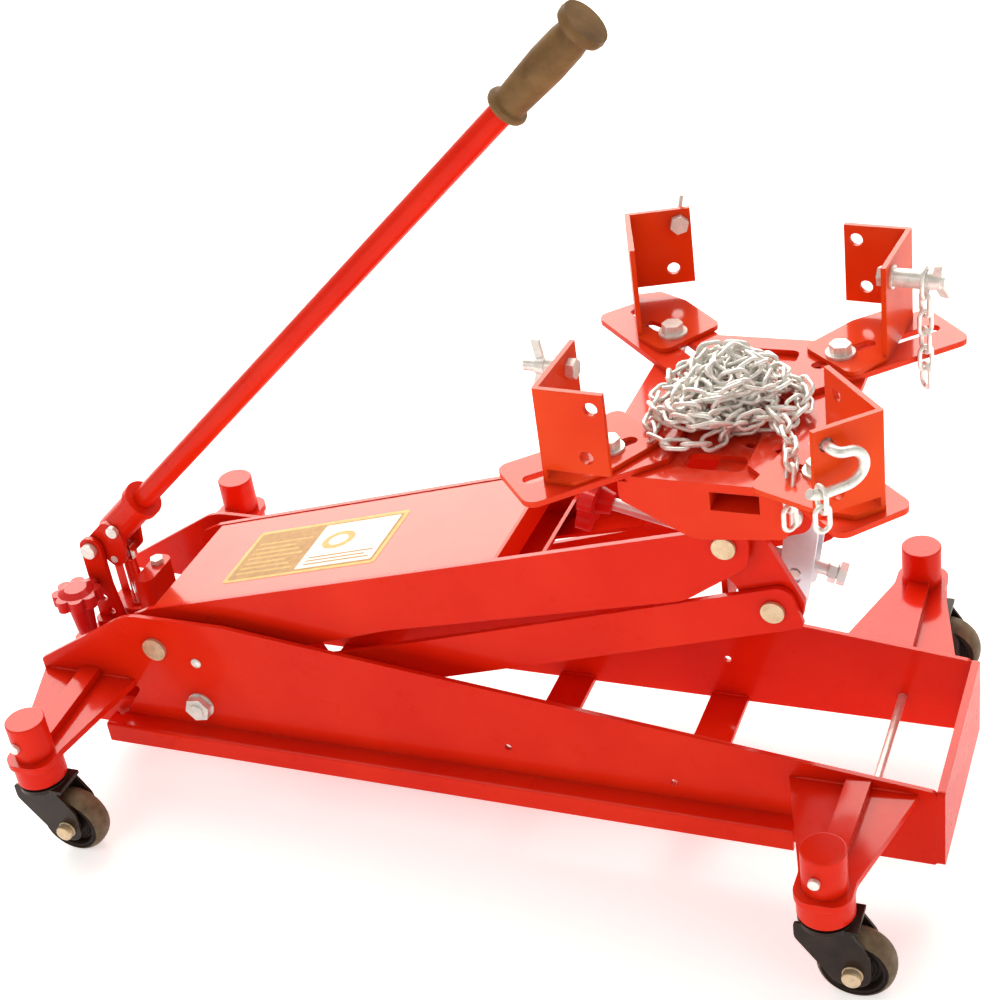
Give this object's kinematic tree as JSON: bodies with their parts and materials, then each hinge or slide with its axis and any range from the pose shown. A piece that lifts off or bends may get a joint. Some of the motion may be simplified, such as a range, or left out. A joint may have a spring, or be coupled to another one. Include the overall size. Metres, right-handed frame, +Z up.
{
  "type": "transmission jack",
  "caption": "Low-lift floor jack with a hydraulic parallelogram arm, hand pump lever, tilting slotted saddle with adjustable corner brackets, a load chain and swivel casters.",
  "frame": {"origin": "centre of the footprint on the floor (bottom centre of the bounding box)", "axes": "+X towards the saddle end, +Y towards the far side plate, +Z up"},
  "size_m": [1.025, 0.541, 0.8693],
  "materials": {
    "red_paint": "gloss",
    "zinc": "zinc plated, satin",
    "chrome_rod": "polished",
    "black_fork": "satin",
    "wheel_plastic": "moulded",
    "grip_rubber": "matte",
    "red_plastic": "moulded"
  },
  "bodies": {
    "base": {"side_plate_near": "red_paint", "side_plate_far": "red_paint", "front_cross_plate": "red_paint", "floor_straps": "red_paint", "front_tie_rod": "zinc", "outrigger_front_near": "red_paint", "outrigger_front_far": "red_paint", "outrigger_rear_near": "red_paint", "outrigger_rear_far": "red_paint", "boss_screws": "zinc", "arm_pivot_pin": "zinc", "link_pivot_bolts": "zinc", "ram_anchor": "red_paint", "ram_cylinder": "red_paint", "oil_line": "zinc", "pump_cradle": "red_paint", "pump_block": "red_paint", "filler_plug": "zinc", "lever_pivot_pin": "zinc"},
    "release": {"release_knob": "red_plastic"},
    "lever": {"handle_socket": "red_paint", "handle_tube": "red_paint", "handle_grip": "grip_rubber", "lever_hardware": "zinc"},
    "plunger": {"pump_plunger": "chrome_rod"},
    "arm": {"lift_arm_cheek_near": "red_paint", "lift_arm_cheek_far": "red_paint", "lift_arm_cover": "red_paint", "lift_arm_gusset": "red_paint", "ram_cross_pin": "red_paint"},
    "ram": {"ram_rod": "chrome_rod"},
    "links": {"lower_links": "red_paint"},
    "knuckle": {"knuckle": "red_paint", "front_pins": "zinc", "tilt_pivot_pin": "zinc"},
    "table": {"saddle_table": "red_paint", "saddle_arms": "red_paint", "tilt_straps": "zinc", "chain_pile": "zinc"},
    "nut": {"tilt_nut": "zinc"},
    "screw": {"tilt_screw": "zinc", "tilt_knob": "red_plastic"},
    "bracket_rear_far": {"ear_rear_far": "red_paint", "hardware_rear_far": "zinc"},
    "bracket_front_far": {"ear_front_far": "red_paint", "hardware_front_far": "zinc", "chain_tail": "zinc"},
    "bracket_rear_near": {"ear_rear_near": "red_paint", "hardware_rear_near": "zinc"},
    "bracket_front_near": {"ear_front_near": "red_paint", "hardware_front_near": "zinc", "chain_hook": "zinc"},
    "fork_front_near": {"caster_fork_front_near": "black_fork"},
    "wheel_front_near": {"caster_wheel_front_near": "wheel_plastic"},
    "fork_front_far": {"caster_fork_front_far": "black_fork"},
    "wheel_front_far": {"caster_wheel_front_far": "wheel_plastic"},
    "fork_rear_near": {"caster_fork_rear_near": "black_fork"},
    "wheel_rear_near": {"caster_wheel_rear_near": "wheel_plastic"},
    "fork_rear_far": {"caster_fork_rear_far": "black_fork"},
    "wheel_rear_far": {"caster_wheel_rear_far": "wheel_plastic"}
  },
  "joints": [
    {"name": "lift", "type": "hinge", "parent": "base", "child": "arm", "pos_m": [-0.3505, 0, 0.178], "axis": [0, -1, 0], "range_deg": [-17, 17]},
    {"name": "link_swing", "type": "hinge", "parent": "base", "child": "links", "pos_m": [-0.3095, 0, 0.105], "axis": [0, -1, 0], "range_deg": [-18, 18]},
    {"name": "knuckle_level", "type": "hinge", "parent": "arm", "child": "knuckle", "pos_m": [0.3075, 0, 0.382], "axis": [0, -1, 0], "range_deg": [-18, 18]},
    {"name": "ram_stroke", "type": "slide", "parent": "base", "child": "ram", "axis": [-0.4226, 0, 0.9063], "range_m": [-0.0245, 0.0245]},
    {"name": "pump_lever", "type": "hinge", "parent": "base", "child": "lever", "pos_m": [-0.4645, 0, 0.244], "axis": [0, -1, 0], "range_deg": [0, 70]},
    {"name": "plunger_stroke", "type": "slide", "parent": "base", "child": "plunger", "axis": [0, 0, 1], "range_m": [-0.0005, 0.033]},
    {"name": "release_turn", "type": "hinge", "parent": "base", "child": "release", "pos_m": [-0.4765, -0.058, 0.15], "axis": [0, 0, 1], "range_deg": [0, 180]},
    {"name": "tilt", "type": "hinge", "parent": "knuckle", "child": "table", "pos_m": [0.3635, 0, 0.4], "axis": [0, -1, 0], "range_deg": [-14, 10]},
    {"name": "nut_travel", "type": "slide", "parent": "knuckle", "child": "nut", "axis": [0.9712, 0, -0.2381], "range_m": [-0.0235, 0.0175]},
    {"name": "screw_turn", "type": "hinge", "parent": "knuckle", "child": "screw", "pos_m": [0.2915, 0, 0.3276], "axis": [0.9712, 0, -0.2381], "continuous": true},
    {"name": "slide_rear_far", "type": "slide", "parent": "table", "child": "bracket_rear_far", "axis": [-0.7314, 0.682, 0], "range_m": [-0.015, 0.06]},
    {"name": "slide_front_far", "type": "slide", "parent": "table", "child": "bracket_front_far", "axis": [0.7314, 0.682, 0], "range_m": [-0.01, 0.09]},
    {"name": "slide_rear_near", "type": "slide", "parent": "table", "child": "bracket_rear_near", "axis": [-0.7314, -0.682, 0], "range_m": [-0.015, 0.07]},
    {"name": "slide_front_near", "type": "slide", "parent": "table", "child": "bracket_front_near", "axis": [0.7314, -0.682, 0], "range_m": [-0.015, 0.055]},
    {"name": "swivel_front_near", "type": "hinge", "parent": "base", "child": "fork_front_near", "pos_m": [0.4275, -0.243, 0.1], "axis": [0, 0, 1], "continuous": true},
    {"name": "spin_front_near", "type": "hinge", "parent": "fork_front_near", "child": "wheel_front_near", "pos_m": [0.4545, -0.243, 0.038], "axis": [0, 1, 0], "continuous": true},
    {"name": "swivel_front_far", "type": "hinge", "parent": "base", "child": "fork_front_far", "pos_m": [0.4275, 0.243, 0.1], "axis": [0, 0, 1], "continuous": true},
    {"name": "spin_front_far", "type": "hinge", "parent": "fork_front_far", "child": "wheel_front_far", "pos_m": [0.4545, 0.243, 0.038], "axis": [0, 1, 0], "continuous": true},
    {"name": "swivel_rear_near", "type": "hinge", "parent": "base", "child": "fork_rear_near", "pos_m": [-0.4365, -0.243, 0.1], "axis": [0, 0, 1], "continuous": true},
    {"name": "spin_rear_near", "type": "hinge", "parent": "fork_rear_near", "child": "wheel_rear_near", "pos_m": [-0.4095, -0.243, 0.038], "axis": [0, 1, 0], "continuous": true},
    {"name": "swivel_rear_far", "type": "hinge", "parent": "base", "child": "fork_rear_far", "pos_m": [-0.4365, 0.243, 0.1], "axis": [0, 0, 1], "continuous": true},
    {"name": "spin_rear_far", "type": "hinge", "parent": "fork_rear_far", "child": "wheel_rear_far", "pos_m": [-0.4095, 0.243, 0.038], "axis": [0, 1, 0], "continuous": true}
  ],
  "couplings": [
    {"joint": "link_swing", "follows": "lift", "ratio": 1},
    {"joint": "knuckle_level", "follows": "lift", "ratio": -1},
    {"joint": "ram_stroke", "follows": "lift", "m_per_rad": 0.0788},
    {"joint": "plunger_stroke", "follows": "pump_lever", "m_per_rad": 0.02627},
    {"joint": "nut_travel", "follows": "tilt", "m_per_rad": 0.09}
  ]
}
